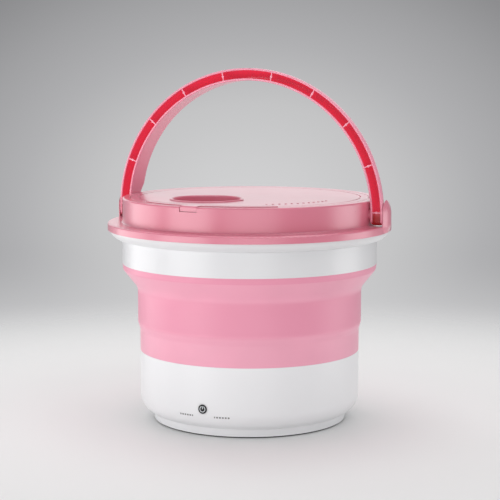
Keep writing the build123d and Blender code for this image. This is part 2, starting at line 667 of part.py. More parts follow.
def lid_disc():
    top = COLLAR_TOP
    body = turned((0, LID_BOTTOM), (LID_R, LID_BOTTOM), (LID_R, top, 0.8), (0, top))
    body += tube(LID_SKIRT_R, LID_SKIRT_R - LID_SKIRT_WALL, LID_BOTTOM - LID_SKIRT_DROP, LID_BOTTOM + 1)
    body += lid_land()
    body += lid_tongue_ring(0) & tab_block(LID_TONGUE_WIDTH, LID_BOTTOM, top + LAND_RISE, LID_R - 2)
    outer = COLLAR_R - TAB_SINK
    tab = turned((outer - TAB_THICK, top - TAB_DROP), (outer, top - TAB_DROP),
                 (outer, top - 1), (outer - TAB_THICK, top - 1))
    body += tab & tab_block(TAB_WIDTH, top - TAB_DROP, top - 1, LID_R)
    groove = tube(GROOVE_R + GROOVE_WIDTH / 2, GROOVE_R - GROOVE_WIDTH / 2,
                  top - GROOVE_DEPTH, top + LAND_RISE)
    body -= groove - tab_block(LID_TONGUE_WIDTH, top - GROOVE_DEPTH, top + LAND_RISE + 1)
    for step in range(DOT_COUNT):
        spot = Rot(0, 0, DOT_FIRST_TURN + step * DOT_STEP) * Pos(DOT_PITCH_R, 0, 0)
        body += spot * rod(DOT_R, top - 0.5, top + DOT_RISE)
    return with_bowl(body)


def with_bowl(body):
    # The round finger bowl with its raised lip.
    place = Pos(BOWL_X, BOWL_Y, 0)
    floor = COLLAR_TOP - BOWL_DEPTH
    lip_top = COLLAR_TOP + LAND_RISE + BOWL_LIP_RISE
    outer_r = BOWL_R + BOWL_LIP_WIDTH
    cup = turned((0, floor - BOWL_WALL), (BOWL_R + BOWL_WALL, floor - BOWL_WALL, BOWL_BEND + BOWL_WALL),
                 (BOWL_R + BOWL_WALL, LID_BOTTOM), (outer_r, LID_BOTTOM), (outer_r, lip_top, 1.4),
                 (0, lip_top))
    hollow = turned((0, floor), (BOWL_R, floor, BOWL_BEND), (BOWL_R, lip_top - 1.2), (BOWL_R + 1.2, lip_top),
                    (BOWL_R + 1.2, lip_top + 1), (0, lip_top + 1))
    return body + place * cup - place * hollow


def lid_gasket():
    outer = LID_SEAT_R + GASKET_WIDTH
    return tube(outer, LID_SEAT_R, LID_SEAT_Z, LID_BOTTOM)


# Handle

def swept_arch(*corners):
    # Half a turn of a section about the hinge frame's Y axis, with straight feet below it.
    # Corners are (distance from the arch's centre, distance back from the hinge line, rounding).
    points = [corner[:2] for corner in corners]
    rounds = [corner[2] for corner in corners]
    section = Pos(0, 0, PIVOT_Z) * make_face(FilletPolyline(*points, radius=rounds, close=True))
    arch = revolve(section, Axis((0, 0, PIVOT_Z), (0, -1, 0)), 180)
    foot = extrude(section, amount=FOOT_DROP + 1, dir=(0, 0, -1))
    return arch + foot + mirror(foot, Plane.YZ)


def foot_outline(front, drop, back, arch_back, roundings):
    # A prism along the hinge line that shapes the feet, seen from the side.
    top = PIVOT_Z + 2 * ARCH_OUT_R
    points = [(front, top), (front, PIVOT_Z - drop), (back, PIVOT_Z - drop), (back, PIVOT_Z + FOOT_WIDEN_LOW),
              (arch_back, PIVOT_Z + FOOT_WIDEN_HIGH), (arch_back, top)]
    side = make_face(FilletPolyline(*points, radius=[0, roundings, roundings, 8, 8, 0], close=True))
    side = Rot(0, 0, 90) * Rot(90, 0, 0) * side
    return Pos(-2 * ARCH_OUT_R, 0, 0) * extrude(side, 4 * ARCH_OUT_R, dir=(1, 0, 0))


def foot_corner(side, inner, low, radius):
    # What the rounding of a foot's lower inner corner takes away.
    corner = block(inner - 1, inner + radius, -2 * ARCH_BACK, 2 * ARCH_BACK, low - 1, low + radius)
    corner -= Pos(inner + radius, 0, low + radius) * Rot(90, 0, 0) * Cylinder(radius, 5 * ARCH_BACK)
    return corner if side > 0 else mirror(corner, Plane.YZ)


def handle_ribs():
    middle_r = (ARCH_IN_R + ARCH_OUT_R) / 2
    front = -ARCH_FRONT + RIB_SINK
    shapes = []
    for step in range(RIB_PAIRS):
        depth = RIB_DEPTH if step < RIB_PAIRS - 1 else ARCH_FRONT - RIB_SINK - PIN_R
        for side in (-1, 1):
            lean = side * (RIB_FIRST + step * RIB_STEP)
            place = Pos(0, 0, PIVOT_Z) * Rot(0, lean, 0)
            rib = block(-RIB_THICK / 2, RIB_THICK / 2, front, front + depth, ARCH_IN_R + 1, ARCH_OUT_R - 1)
            knob = Pos(0, front + depth / 2, middle_r) * Rot(90, 0, 0) * Cylinder(RIB_KNOB_R, depth)
            shapes += [place * rib, place * knob]
    return shapes


def handle():
    wall = ARCH_WALL
    nose = ARCH_NOSE
    outer = swept_arch(
        (ARCH_IN_R, -ARCH_FRONT, ARCH_EDGE), (ARCH_OUT_R, -ARCH_FRONT, ARCH_EDGE), (ARCH_OUT_R, -1, 8),
        (ARCH_IN_R + nose, ARCH_BACK, 1.9), (ARCH_IN_R, ARCH_BACK, 1.9))
    outer &= foot_outline(-ARCH_FRONT, FOOT_DROP, ARCH_FRONT, ARCH_BACK, FOOT_ROUND)
    mouth = 0.6
    inner_r = ARCH_IN_R + wall
    outer_r = ARCH_OUT_R - wall
    channel = swept_arch(
        (inner_r - mouth, -ARCH_FRONT - 1, 0), (outer_r + mouth, -ARCH_FRONT - 1, 0),
        (outer_r + mouth, -ARCH_FRONT, 0), (outer_r, -ARCH_FRONT + mouth, 0), (outer_r, -1.5, 6),
        (inner_r + 1.2, ARCH_BACK - nose, 0), (inner_r, ARCH_BACK - nose, 0),
        (inner_r, -ARCH_FRONT + mouth, 0), (inner_r - mouth, -ARCH_FRONT, 0))
    channel &= foot_outline(-ARCH_FRONT - 2, FOOT_DROP - wall, ARCH_FRONT - wall, ARCH_BACK - wall,
                            FOOT_ROUND - wall)
    for side in (-1, 1):
        outer -= foot_corner(side, ARCH_IN_R, PIVOT_Z - FOOT_DROP, FOOT_CORNER)
        channel -= foot_corner(side, inner_r, PIVOT_Z - FOOT_DROP + wall, FOOT_CORNER - wall)
    # The feet are solid round the pins, behind a shallow pocket.
    cover = PIN_R + FOOT_PIN_COVER
    body = outer - channel
    body += outer & block(-ARCH_OUT_R, ARCH_OUT_R, -cover, ARCH_BACK, PIVOT_Z - FOOT_DROP, PIVOT_Z + cover)
    for rib in handle_ribs():
        body += rib & outer
    for side in (-1, 1):
        body -= Pos(0, 0, PIVOT_Z) * Rot(0, side * 90, 0) * rod(PIN_R + RUNNING_GAP, ARCH_IN_R - 1,
                                                                ARCH_OUT_R + 1)
    return hinge_frame() * body


# Gear drive

def tooth_sides(teeth, radius):
    # Half the angle that a tooth takes up at this radius, from the involute of its base circle.
    pitch_r = MODULE * teeth / 2
    pressure = radians(PRESSURE_ANGLE)
    base_r = pitch_r * cos(pressure)
    here = acos(min(1.0, base_r / radius))
    half_pitch = pi / (2 * teeth) - TOOTH_THINNING / (2 * pitch_r)
    return half_pitch + (tan(pressure) - pressure) - (tan(here) - here)


def gear(teeth, width, first=0.0):
    # A spur gear in the XY plane, the middle of a tooth at the turn given first.
    pitch_r = MODULE * teeth / 2
    root_r = pitch_r - 1.25 * MODULE
    tip_r = pitch_r + MODULE
    low_r = max(root_r, pitch_r * cos(radians(PRESSURE_ANGLE)))
    middle_r = (low_r + tip_r) / 2

    def point(radius, angle):
        return (radius * cos(angle), radius * sin(angle))

    edges = []
    step = 2 * pi / teeth
    for tooth in range(teeth):
        centre = radians(first) + tooth * step
        low, middle, tip = [tooth_sides(teeth, radius) for radius in (low_r, middle_r, tip_r)]
        if low_r > root_r:
            edges.append(Line(point(root_r, centre - low), point(low_r, centre - low)))
        edges.append(ThreePointArc(point(low_r, centre - low), point(middle_r, centre - middle),
                                   point(tip_r, centre - tip)))
        edges.append(ThreePointArc(point(tip_r, centre - tip), point(tip_r, centre),
                                   point(tip_r, centre + tip)))
        edges.append(ThreePointArc(point(tip_r, centre + tip), point(middle_r, centre + middle),
                                   point(low_r, centre + low)))
        if low_r > root_r:
            edges.append(Line(point(low_r, centre + low), point(root_r, centre + low)))
        edges.append(ThreePointArc(point(root_r, centre + low), point(root_r, centre + step / 2),
                                   point(root_r, centre + step - low)))
    outline = Wire([edge for line in edges for edge in line.edges()])
    return extrude(make_face(outline), width)


def flatted_rod(radius, flat, low, high):
    return rod(radius, low, high) & block(-radius, flat, -radius, radius, low, high)


def output_wheel():
    body = Pos(0, 0, WHEEL_BOTTOM) * gear(WHEEL_TEETH, WHEEL_WIDTH, 180.0 / WHEEL_TEETH)
    body += rod(WHEEL_HUB_R, WHEEL_BOTTOM - 1, WHEEL_BOTTOM + WHEEL_WIDTH + 0.6)
    hole_pitch_r = (WHEEL_HUB_R + MODULE * WHEEL_TEETH / 2) / 2
    for turn in turns(WHEEL_HOLES):
        body -= Rot(0, 0, turn) * Pos(hole_pitch_r, 0, 0) * rod(WHEEL_HOLE_R, WHEEL_BOTTOM - 1,
                                                               WHEEL_BOTTOM + WHEEL_WIDTH + 1)
    return body - flatted_rod(SHAFT_R, SHAFT_FLAT, WHEEL_BOTTOM - 1, WHEEL_BOTTOM + WHEEL_WIDTH + 1)


def pulsator_shaft():
    wheel_top = WHEEL_BOTTOM + WHEEL_WIDTH + 0.6
    shaft = rod(SHAFT_TIP_R, SHAFT_BOTTOM, SHAFT_STEP)
    shaft += flatted_rod(SHAFT_R, SHAFT_FLAT, SHAFT_STEP, wheel_top)
    shaft += rod(SHAFT_R, wheel_top, SHAFT_SHOULDER)
    half = SHAFT_SQUARE / 2
    shaft += block(-half, half, -half, half, SHAFT_SHOULDER, SHAFT_TOP)
    return shaft - rod(HUB_SCREW_R + SCREW_GAP, SHAFT_TOP - HUB_SCREW_LENGTH, SHAFT_TOP)


def bearing(outer, inner, low, high):
    # A shielded bearing: outer ring, inner ring and the shields sunk a little between them.
    ring = tube(outer, inner, low, high)
    width = (outer - inner) * 0.28
    for z_low, z_high in ((low, low + BEARING_GROOVE), (high - BEARING_GROOVE, high)):
        ring -= tube(outer - width, inner + width, z_low, z_high)
    return ring


def upper_bearing():
    return bearing(UPPER_BEARING_R, SHAFT_R + RUNNING_GAP, HUB_BOTTOM, HUB_BOTTOM + UPPER_BEARING_H)


def lower_bearing():
    return bearing(LOWER_BEARING_R, SHAFT_TIP_R + RUNNING_GAP, LOWER_BEARING_Z, BRACKET_BOTTOM)


def shaft_seal():
    low = HUB_TOP - SEAL_H
    inner = SHAFT_R + RUNNING_GAP
    return turned((inner, low), (UPPER_BEARING_R, low), (UPPER_BEARING_R, HUB_TOP), (inner + 3, HUB_TOP),
                  (inner + 2, low + 2), (inner + 1.4, low + 2), (inner, HUB_TOP - 2))


def motor_screw_places():
    return [Pos(GEAR_DISTANCE, side * MOTOR_SCREW_PITCH_R, 0) for side in (-1, 1)]


def motor_bracket():
    front = GEAR_DISTANCE + MOTOR_R
    plate = block(BRACKET_BACK, front, -BRACKET_WIDTH / 2, BRACKET_WIDTH / 2, BRACKET_BOTTOM, BRACKET_TOP)
    plate = fillet(plate.edges().filter_by(Axis.Z), BRACKET_CORNER)
    plate += rod(LOWER_BEARING_R + 3, LOWER_BEARING_Z - 1, BRACKET_BOTTOM)
    plate -= rod(LOWER_BEARING_R, LOWER_BEARING_Z, BRACKET_TOP)
    plate -= rod(SHAFT_R + MOVING_GAP, LOWER_BEARING_Z - 1, LOWER_BEARING_Z)
    plate -= Pos(GEAR_DISTANCE, 0, 0) * rod(MOTOR_NOSE_R + SHELL_GAP, BRACKET_BOTTOM, BRACKET_TOP)
    for place in motor_screw_places() + bracket_screw_places():
        plate -= place * rod(SCREW_HOLE_R, BRACKET_BOTTOM, BRACKET_TOP)
    return plate


def bracket_screws():
    return pieces(*[place * Pos(0, 0, BRACKET_BOTTOM) * screw(SCREW_R, SCREW_HEAD_R, SCREW_HEAD, 14)
                    for place in bracket_screw_places()])


def motor_screws():
    length = BRACKET_THICK + MOTOR_WALL + 1
    down = Pos(0, 0, BRACKET_TOP) * Rot(180, 0, 0) * screw(SCREW_R, SCREW_HEAD_R, SCREW_HEAD, length)
    return pieces(*[place * down for place in motor_screw_places()])


# Motor, upright beside the shaft

def motor_place():
    return Pos(GEAR_DISTANCE, 0, 0)


def motor_can():
    low = MOTOR_BOTTOM + MOTOR_CAP
    can = turned((0, low), (MOTOR_R, low), (MOTOR_R, BRACKET_BOTTOM, 1.5), (0, BRACKET_BOTTOM))
    can -= rod(MOTOR_R - MOTOR_WALL, low, BRACKET_BOTTOM - MOTOR_WALL)
    can += rod(MOTOR_NOSE_R, BRACKET_BOTTOM - MOTOR_WALL, BRACKET_BOTTOM + MOTOR_NOSE)
    can -= rod(MOTOR_SHAFT_R + RUNNING_GAP, low, BRACKET_BOTTOM + MOTOR_NOSE)
    can = motor_place() * can
    for place in motor_screw_places():
        can -= place * rod(SCREW_R + SCREW_GAP, low, BRACKET_BOTTOM)
    return can


def motor_end_cap():
    top = MOTOR_BOTTOM + MOTOR_CAP
    cap = turned((0, MOTOR_BOTTOM), (MOTOR_R, MOTOR_BOTTOM, 0.8), (MOTOR_R, top), (0, top))
    cap += tube(MOTOR_R - MOTOR_WALL - SHELL_GAP / 2, MOTOR_R - 2 * MOTOR_WALL, top, top + 1.5)
    cap -= rod(MOTOR_SHAFT_R + RUNNING_GAP, MOTOR_BOTTOM + 1, top)
    return motor_place() * cap


def motor_magnets():
    low = MOTOR_BOTTOM + MOTOR_CAP + 2
    high = BRACKET_BOTTOM - MOTOR_WALL - 1
    ring = tube(MOTOR_R - MOTOR_WALL, MAGNET_IN_R, low, high)
    half = MAGNET_TURN / 2
    reach = 2 * MOTOR_R
    corners = [(0, 0), (reach * cos(radians(half)), -reach * sin(radians(half))), (2 * reach, 0),
               (reach * cos(radians(half)), reach * sin(radians(half)))]
    wedge = Pos(0, 0, low) * extrude(make_face(Polyline(*corners, close=True)), high - low)
    magnet = ring & wedge
    return pieces(motor_place() * magnet, motor_place() * Rot(0, 0, 180) * magnet)


def motor_rotor():
    low = MOTOR_BOTTOM + MOTOR_CAP + 4
    high = BRACKET_BOTTOM - MOTOR_WALL - 3
    core = rod(ROTOR_R, low, high)
    for turn in turns(3):
        core -= Rot(0, 0, turn) * block(ROTOR_R - 4, ROTOR_R + 1, -1, 1, low, high)
    core += rod(MOTOR_SHAFT_R + 2, low - 3, low)
    return motor_place() * (core - rod(MOTOR_SHAFT_R, low - 3, high))


def motor_shaft():
    return motor_place() * rod(MOTOR_SHAFT_R, MOTOR_BOTTOM + 1.3, WHEEL_BOTTOM + PINION_WIDTH)


def pinion():
    teeth = Pos(0, 0, WHEEL_BOTTOM) * gear(PINION_TEETH, PINION_WIDTH, 180.0)
    return motor_place() * (teeth - rod(MOTOR_SHAFT_R, WHEEL_BOTTOM, WHEEL_BOTTOM + PINION_WIDTH))


# Pulsator

def pulsator():
    low = PULSATOR_UNDER
    hub_gap_r = HUB_R + 2
    skin = PULSATOR_SKIN
    rim = low + PULSATOR_SKIRT
    slope_top = SHAFT_SHOULDER + PULSATOR_HEIGHT - 10.5
    body = turned(
        (0, SHAFT_SHOULDER), (SHAFT_R + 3, SHAFT_SHOULDER), (SHAFT_R + 3, SHAFT_SHOULDER + 1.2),
        (hub_gap_r, SHAFT_SHOULDER + 1.2), (hub_gap_r, low), (hub_gap_r + skin, low),
        (hub_gap_r + skin, slope_top - skin), (PULSATOR_R - 2 * skin, rim - skin + 1),
        (PULSATOR_R - skin, low), (PULSATOR_R, low), (PULSATOR_R, rim, 1.5),
        (PULSATOR_HUB_R + 8, slope_top, 4),
        (PULSATOR_HUB_R, PULSATOR_TOP - 3, 2), (PULSATOR_HUB_R - 3, PULSATOR_TOP), (0, PULSATOR_TOP))
    for turn in turns(VANE_COUNT):
        body += Rot(0, 0, turn) * vane(slope_top, rim)
    half = SHAFT_SQUARE / 2
    body -= block(-half, half, -half, half, SHAFT_SHOULDER, SHAFT_TOP)
    body -= rod(HUB_SCREW_R + SCREW_GAP, SHAFT_TOP, PULSATOR_TOP)
    return body - rod(HUB_CAP_R + SCREW_GAP, PULSATOR_TOP - HUB_CAP_DEPTH, PULSATOR_TOP)


def vane(slope_top, rim):
    # An upright rib that falls from the hub to the rim, thicker at its foot.
    inner = PULSATOR_HUB_R - 2
    outer = PULSATOR_R - 4
    corners = [(inner, slope_top - 2), (outer, rim - 1), (outer, rim + 2), (outer - 20, rim + 11),
               (inner, PULSATOR_TOP - 3)]
    side = Rot(90, 0, 0) * make_face(FilletPolyline(*corners, radius=[0, 0, 2, 10, 0], close=True))
    return Pos(0, VANE_THICK / 2, 0) * extrude(side, VANE_THICK, dir=(0, -1, 0))


def hub_screw():
    head_seat = PULSATOR_TOP - HUB_CAP_DEPTH
    return Pos(0, 0, head_seat) * Rot(180, 0, 0) * screw(HUB_SCREW_R, HUB_SCREW_HEAD_R, 2, HUB_SCREW_LENGTH)


def hub_cap():
    low = PULSATOR_TOP - HUB_CAP_DEPTH + 2.2
    return turned((0, low), (HUB_CAP_R, low), (HUB_CAP_R, PULSATOR_TOP, 0.6), (0, PULSATOR_TOP + 0.8))


# Power button and board

def button_frame():
    return facing(BUTTON_TURN, BUTTON_Z)


def power_symbol(low, high):
    # An open ring with a short upright bar in the gap.
    half = SYMBOL_LINE / 2
    ring = tube(SYMBOL_R + half, SYMBOL_R - half, low, high)
    ring -= block(-3 * half, 3 * half, 0, 2 * SYMBOL_R, low, high)
    return pieces(ring, block(-half, half, 0, SYMBOL_R + half, low, high))


def button_bezel():
    ring = turned((BUTTON_R + SHELL_GAP / 2, BEZEL_BACK), (BEZEL_R, BEZEL_BACK),
                  (BEZEL_R, BASE_R + BEZEL_PROUD, 0.3), (BUTTON_R + SHELL_GAP / 2, BASE_R + BEZEL_PROUD, 0.3))
    return button_frame() * ring


def power_button():
    collar_top = BEZEL_BACK - SHELL_GAP
    cap = turned((0, collar_top), (BUTTON_R, collar_top), (BUTTON_R, BUTTON_FACE, BUTTON_EDGE),
                 (0, BUTTON_FACE))
    cap += rod(BUTTON_COLLAR_R, collar_top - BUTTON_COLLAR, collar_top)
    cap += rod(BUTTON_STEM_R, SWITCH_FACE + PLUNGER_PROUD, collar_top - BUTTON_COLLAR)
    cap -= power_symbol(BUTTON_FACE - SYMBOL_DEPTH, BUTTON_FACE)
    return button_frame() * cap


def button_symbol():
    return button_frame() * power_symbol(BUTTON_FACE - SYMBOL_DEPTH, BUTTON_FACE)


def tact_switch():
    half = SWITCH_SIZE / 2
    body = block(-half, half, -half, half, BOARD_R, SWITCH_FACE)
    return button_frame() * (body - rod(PLUNGER_R + RUNNING_GAP, BOARD_R + 1, SWITCH_FACE))


def switch_plunger():
    low = BOARD_R + 1 + BUTTON_TRAVEL + SHELL_GAP
    return button_frame() * rod(PLUNGER_R, low, SWITCH_FACE + PLUNGER_PROUD)


def control_board():
    wide = BOARD_WIDTH / 2
    high = BOARD_HEIGHT / 2
    board = block(-wide, wide, -high, high, BOARD_R - BOARD_THICK, BOARD_R)
    board = button_frame() * board
    for place in board_screw_places():
        board -= place * rod(SCREW_HOLE_R, BOARD_R - BOARD_THICK, BOARD_R)
    return board


def board_screws():
    return pieces(*[place * Pos(0, 0, BOARD_R - BOARD_THICK) * screw(SCREW_R, SCREW_HEAD_R, SCREW_HEAD,
                                                                     BOARD_SCREW_LENGTH)
                    for place in board_screw_places()])


def board_socket():
    half = SOCKET_WIDTH / 2
    low = -BOARD_HEIGHT / 2
    inner = BOARD_R - BOARD_THICK
    return button_frame() * block(-half, half, low, low + SOCKET_HEIGHT, inner - SOCKET_DEPTH, inner)


# Power inlet

def jack_frame():
    return facing(JACK_TURN, JACK_Z)


def power_jack():
    back = BASE_R - JACK_SINK
    face = back + JACK_FLANGE
    body = rod(JACK_BODY_R, back - JACK_BODY_LENGTH, back)
    body += turned((0, back), (JACK_FLANGE_R, back), (JACK_FLANGE_R, face, 0.5), (0, face))
    body -= rod(JACK_BORE_R, face - JACK_BORE_DEPTH, face)
    body += rod(JACK_PIN_R, face - JACK_BORE_DEPTH - 1, face - 1.5)
    return jack_frame() * body


def jack_nut():
    high = BASE_IN_R - SHELL_GAP / 2 - 0.3
    nut = Pos(0, 0, high - JACK_NUT) * extrude(RegularPolygon(JACK_FLANGE_R - 0.5, 6), JACK_NUT)
    return jack_frame() * (nut - rod(JACK_BODY_R, high - JACK_NUT, high))


# Wires inside the base

def wire(*points):
    path = FilletPolyline(*points, radius=WIRE_BEND)
    section = Plane(origin=path @ 0, z_dir=path % 0) * Circle(WIRE_R)
    return sweep(section, path=path)


def socket_point(across, drop):
    # A point on the lower side of the board's socket.
    place = button_frame() * Pos(across, -BOARD_HEIGHT / 2 - drop, BOARD_R - BOARD_THICK - SOCKET_DEPTH / 2)
    return place.position


def motor_leads():
    leads = []
    for side in (-1, 1):
        start_x = GEAR_DISTANCE + side * 3
        end = socket_point(5 + side * 1.4, 0)
        below = socket_point(5 + side * 1.4, BUTTON_Z - BOARD_HEIGHT / 2 - WIRE_Z)
        leads.append(wire((start_x, -MOTOR_R, WIRE_Z), (start_x, -MOTOR_R - 22 - 3 * side, WIRE_Z),
                          (below.X, below.Y, WIRE_Z), (end.X, end.Y, end.Z)))
    return pieces(*leads)


def jack_leads():
    leads = []
    for side in (-1, 1):
        start = (jack_frame() * Pos(side * 2.5, 0, BASE_R - JACK_SINK - JACK_BODY_LENGTH)).position
        turn_in = (jack_frame() * Pos(side * 2.5, 0, BASE_R - JACK_SINK - JACK_BODY_LENGTH - 14)).position
        end = socket_point(-5 + side * 1.4, 0)
        below = socket_point(-5 + side * 1.4, BUTTON_Z - BOARD_HEIGHT / 2 - WIRE_Z)
        reach = FOOT_RING_R - LEAD_INSET + side * 1.4
        leads.append(wire(start, turn_in, (-reach, 30, WIRE_Z + 12), (-reach, -30, WIRE_Z),
                          (below.X, below.Y, WIRE_Z), (end.X, end.Y, end.Z)))
    return pieces(*leads)


NODES = {
    "base_housing": base_housing,
    "bottom_cover": bottom_cover,
    "cover_screws": cover_screws,
    "rubber_foot_ring": rubber_foot_ring,
    "tub_floor": tub_floor,
    "drain_strainer": drain_strainer,
    "drain_spout": drain_spout,
    "drain_o_ring": drain_o_ring,
    "drain_cap": drain_cap,
    "bellows": bellows,
    "lower_hoop": lower_hoop,
    "upper_hoop": upper_hoop,
    "upper_ring": upper_ring,
    "rim_seal": rim_seal,
    "collar": collar,
    "pivot_pins": pivot_pins,
    "handle": handle,
    "lid": lid_disc,
    "lid_gasket": lid_gasket,
    "pulsator": pulsator,
    "hub_screw": hub_screw,
    "hub_cap": hub_cap,
    "pulsator_shaft": pulsator_shaft,
    "output_wheel": output_wheel,
    "upper_bearing": upper_bearing,
    "lower_bearing": lower_bearing,
    "shaft_seal": shaft_seal,
    "motor_bracket": motor_bracket,
    "bracket_screws": bracket_screws,
    "motor_screws": motor_screws,
    "motor_can": motor_can,
    "motor_end_cap": motor_end_cap,
    "motor_magnets": motor_magnets,
    "motor_rotor": motor_rotor,
    "motor_shaft": motor_shaft,
    "pinion": pinion,
    "button_bezel": button_bezel,
    "power_button": power_button,
    "button_symbol": button_symbol,
    "switch_plunger": switch_plunger,
    "tact_switch": tact_switch,
    "control_board": control_board,
    "board_screws": board_screws,
    "board_socket": board_socket,
    "power_jack": power_jack,
    "jack_nut": jack_nut,
    "motor_leads": motor_leads,
    "jack_leads": jack_leads,
}

os.makedirs("parts", exist_ok=True)
for node, make in NODES.items():
    save(make(), node)
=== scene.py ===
import math
import bpy
import numpy as np
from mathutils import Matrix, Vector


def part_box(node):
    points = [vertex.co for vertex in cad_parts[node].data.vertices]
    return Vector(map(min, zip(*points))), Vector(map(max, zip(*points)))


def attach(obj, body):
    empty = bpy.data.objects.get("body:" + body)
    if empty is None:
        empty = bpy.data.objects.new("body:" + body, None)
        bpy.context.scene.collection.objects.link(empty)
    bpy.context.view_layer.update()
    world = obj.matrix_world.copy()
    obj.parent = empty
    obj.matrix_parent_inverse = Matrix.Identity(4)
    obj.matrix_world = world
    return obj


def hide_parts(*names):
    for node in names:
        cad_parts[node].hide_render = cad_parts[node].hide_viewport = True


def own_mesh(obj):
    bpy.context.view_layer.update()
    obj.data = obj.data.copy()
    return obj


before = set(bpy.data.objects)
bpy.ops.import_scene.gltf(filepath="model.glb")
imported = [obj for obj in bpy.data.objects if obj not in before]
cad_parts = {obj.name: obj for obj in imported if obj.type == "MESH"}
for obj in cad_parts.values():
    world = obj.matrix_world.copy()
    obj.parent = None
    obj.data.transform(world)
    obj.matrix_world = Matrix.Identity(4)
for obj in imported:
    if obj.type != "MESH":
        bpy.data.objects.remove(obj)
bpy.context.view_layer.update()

print("packed model loaded:", len(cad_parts), "nodes")

mm = 0.001
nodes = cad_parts


class Signal:
    # one output socket, which can be used in a sum like a number
    def __init__(self, finish, socket):
        self.finish = finish
        self.socket = socket

    def maths(self, operation, first, second):
        # one Math node
        return self.finish.add("ShaderNodeMath", {"operation": operation}, {0: first, 1: second})

    def atLeast(self, other):
        return self.maths("MAXIMUM", self, other)

    def fraction(self):
        return self.finish.add("ShaderNodeMath", {"operation": "FRACT"}, {0: self})

    def __add__(self, other):
        return self.maths("ADD", self, other)

    def __radd__(self, other):
        return self.maths("ADD", other, self)

    def __sub__(self, other):
        return self.maths("SUBTRACT", self, other)

    def __rsub__(self, other):
        return self.maths("SUBTRACT", other, self)

    def __mul__(self, other):
        return self.maths("MULTIPLY", self, other)

    def __rmul__(self, other):
        return self.maths("MULTIPLY", other, self)

    def __truediv__(self, other):
        return self.maths("DIVIDE", self, other)

    def __rtruediv__(self, other):
        return self.maths("DIVIDE", other, self)

    def __pow__(self, other):
        return self.maths("POWER", self, other)

    def __abs__(self):
        return self.maths("ABSOLUTE", self, 0.0)

    def rise(self, low, high):
        # 0 below low, 1 above high, and a soft step between them
        return self.finish.add("ShaderNodeMapRange", {"interpolation_type": "SMOOTHSTEP"},
                               {"Value": self, "From Min": low, "From Max": high})

    def between(self, low, high, soft):
        # 1 from low to high, with a soft step of that half width at both ends
        return self.rise(low - soft, low + soft) * (1 - self.rise(high - soft, high + soft))


class Finish:
    # a material, or the world's light, and the nodes that make it
    def __init__(self, name, holder=None, place="Object"):
        self.material = holder or bpy.data.materials.new(name)
        self.material.use_nodes = True
        self.tree = self.material.node_tree
        self.tree.nodes.clear()
        self.place = self.add("ShaderNodeTexCoord", output=place)

    def add(self, kind, settings=None, inputs=None, output=0):
        node = self.tree.nodes.new(kind)
        for key, value in (settings or {}).items():
            if key == "stops":
                ramp = node.color_ramp.elements
                for index, (position, colour) in enumerate(value):
                    stop = ramp[index] if index < 2 else ramp.new(position)
                    stop.position = position
                    stop.color = (*colour, 1)
            else:
                setattr(node, key, value)
        for key, value in (inputs or {}).items():
            if isinstance(value, Signal):
                self.tree.links.new(value.socket, node.inputs[key])
            else:
                node.inputs[key].default_value = value
        return Signal(self, node.outputs[output] if len(node.outputs) else None)

    def mixed(self, factor, first, second):
        # a colour between two colours
        first, second = [(*c, 1) if isinstance(c, tuple) else c for c in (first, second)]
        return self.add("ShaderNodeMix", {"data_type": "RGBA"}, {0: factor, 6: first, 7: second}, 2)

    def moved(self, centre=(0, 0, 0), turn=(0, 0, 0), stretch=(1, 1, 1)):
        # Object coordinates about another centre, turned and stretched
        return self.add("ShaderNodeMapping", {"vector_type": "TEXTURE"},
                        {"Vector": self.place, "Location": centre, "Rotation": turn, "Scale": stretch})

    def parts(self, vector):
        # a vector's x, y and z
        node = self.add("ShaderNodeSeparateXYZ", inputs={"Vector": vector}).socket.node
        return [Signal(self, socket) for socket in node.outputs]

    def noise(self, scale, detail=2.0, vector=None):
        return self.add("ShaderNodeTexNoise", {"noise_dimensions": "3D"},
                        {"Vector": vector or self.place, "Scale": scale, "Detail": detail})

    def bump(self, height, depth, below=None):
        # height runs from 0 to 1, depth is in metres
        inputs = {"Height": height, "Strength": 1.0, "Distance": depth}
        if below is not None:
            inputs["Normal"] = below
        return self.add("ShaderNodeBump", inputs=inputs)

    def shine(self, **sockets):
        # the surface itself; spaces in a socket's name are written as underscores
        inputs = {key.replace("_", " "): (*value, 1) if isinstance(value, tuple) else value
                  for key, value in sockets.items()}
        self.show(self.add("ShaderNodeBsdfPrincipled", inputs=inputs))
        return self.material

    def show(self, shader):
        self.add("ShaderNodeOutputMaterial", inputs={"Surface": shader})


def screen(red, green, blue):
    # a colour as a screen shows it, 0 to 255, turned into light values
    return tuple(c / 12.92 if c <= 0.04045 else ((c + 0.055) / 1.055) ** 2.4
                 for c in (red / 255, green / 255, blue / 255))


def dimmed(colour, factor):
    # a darker colour, or a lighter one where the factor is over 1
    return tuple(c * factor for c in colour)


# moulded plastic, soft plastic, rubber and metal

